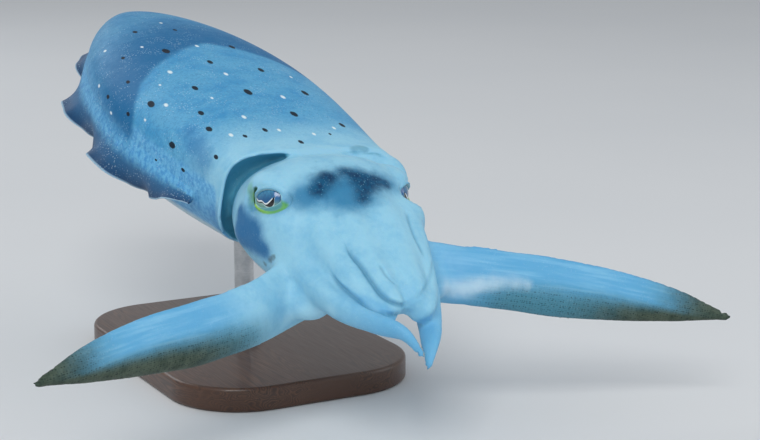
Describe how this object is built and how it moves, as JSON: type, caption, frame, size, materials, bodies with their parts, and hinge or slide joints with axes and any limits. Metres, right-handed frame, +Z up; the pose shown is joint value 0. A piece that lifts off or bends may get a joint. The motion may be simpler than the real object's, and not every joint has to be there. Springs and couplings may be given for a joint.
{
  "type": "broadclub cuttlefish",
  "caption": "Life-size still model of a hovering broadclub cuttlefish, its arms bunched and its broad lower arms spread, on a rod and flat base.",
  "frame": {"origin": "middle of the underside of the stand's base, on the floor, under the rod", "axes": "+Z up, -Y towards the animal's head, +X towards the animal's left side"},
  "size_m": [0.3414, 0.3642, 0.1682],
  "materials": {
    "skin": "painted in pale blue, dark spots and olive tips, satin",
    "eyeball": "dark, wet gloss",
    "base_wood": "dark stained, satin lacquer",
    "rod_steel": "brushed"
  },
  "bodies": {
    "root": {"mantle": "skin", "head": "skin", "funnel": "skin", "fin_right": "skin", "fin_left": "skin", "eye_right": "eyeball", "eye_left": "eyeball", "arm_1_right_base": "skin", "arm_1_right_tip": "skin", "arm_1_left_base": "skin", "arm_1_left_tip": "skin", "arm_2_right_base": "skin", "arm_2_right_tip": "skin", "arm_2_left_base": "skin", "arm_2_left_tip": "skin", "arm_3_right_base": "skin", "arm_3_right_tip": "skin", "arm_3_left_base": "skin", "arm_3_left_tip": "skin", "arm_4_right_base": "skin", "arm_4_right_middle": "skin", "arm_4_right_tip": "skin", "arm_4_left_base": "skin", "arm_4_left_middle": "skin", "arm_4_left_tip": "skin", "stand_base": "base_wood", "stand_collar": "rod_steel", "stand_rod": "rod_steel"}
  },
  "joints": []
}
